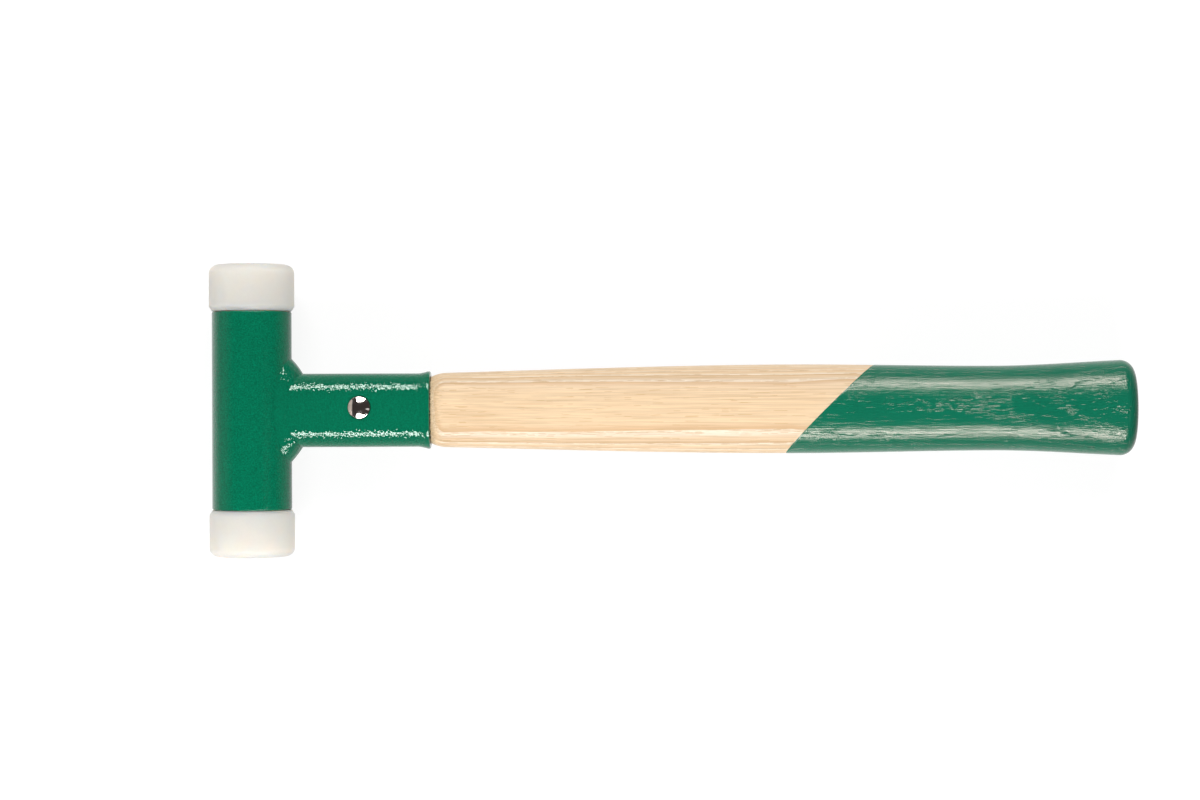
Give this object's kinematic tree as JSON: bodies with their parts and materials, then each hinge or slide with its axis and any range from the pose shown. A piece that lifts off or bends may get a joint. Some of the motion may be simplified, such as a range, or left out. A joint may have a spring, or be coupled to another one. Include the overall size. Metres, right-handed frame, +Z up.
{
  "type": "dead blow hammer",
  "caption": "Recoilless hammer with a tubular steel head that holds loose shot, nylon striking faces, and an oval wooden handle riveted into a welded socket.",
  "frame": {"origin": "on the ground under the middle of the hammer's length and of its head, where the hammer lies on its side", "axes": "+X along the handle from the head to the butt, +Y along the head from the lower to the upper face, +Z up, across the head and the handle"},
  "size_m": [0.328, 0.1036, 0.03],
  "materials": {
    "green_paint": "green enamel with an orange-peel texture, satin",
    "nylon": "moulded off-white nylon, faintly see-through, satin",
    "lacquered_wood": "pale ash under clear lacquer, with the grip dipped in green enamel over open grain",
    "nickel_plate": "polished nickel plate",
    "plain_steel": "plain steel"
  },
  "bodies": {
    "hammer": {"head_tube": "green_paint", "nylon_face_upper": "nylon", "nylon_face_lower": "nylon", "chamber_disc_upper": "plain_steel", "chamber_disc_lower": "plain_steel", "handle_socket": "green_paint", "socket_weld": "green_paint", "handle_rivet": "nickel_plate", "wooden_handle": "lacquered_wood"},
    "shot": {"shot_ball_01": "plain_steel", "shot_ball_02": "plain_steel", "shot_ball_03": "plain_steel", "shot_ball_04": "plain_steel", "shot_ball_05": "plain_steel", "shot_ball_06": "plain_steel", "shot_ball_07": "plain_steel", "shot_ball_08": "plain_steel", "shot_ball_09": "plain_steel", "shot_ball_10": "plain_steel", "shot_ball_11": "plain_steel", "shot_ball_12": "plain_steel", "shot_ball_13": "plain_steel", "shot_ball_14": "plain_steel", "shot_ball_15": "plain_steel", "shot_ball_16": "plain_steel", "shot_ball_17": "plain_steel", "shot_ball_18": "plain_steel", "shot_ball_19": "plain_steel", "shot_ball_20": "plain_steel", "shot_ball_21": "plain_steel", "shot_ball_22": "plain_steel", "shot_ball_23": "plain_steel", "shot_ball_24": "plain_steel", "shot_ball_25": "plain_steel", "shot_ball_26": "plain_steel", "shot_ball_27": "plain_steel", "shot_ball_28": "plain_steel", "shot_ball_29": "plain_steel", "shot_ball_30": "plain_steel", "shot_ball_31": "plain_steel", "shot_ball_32": "plain_steel", "shot_ball_33": "plain_steel", "shot_ball_34": "plain_steel", "shot_ball_35": "plain_steel"}
  },
  "joints": [
    {"name": "shot_slide", "type": "slide", "parent": "hammer", "child": "shot", "axis": [0, 1, 0], "range_m": [-0.0056, 0.0056]}
  ]
}
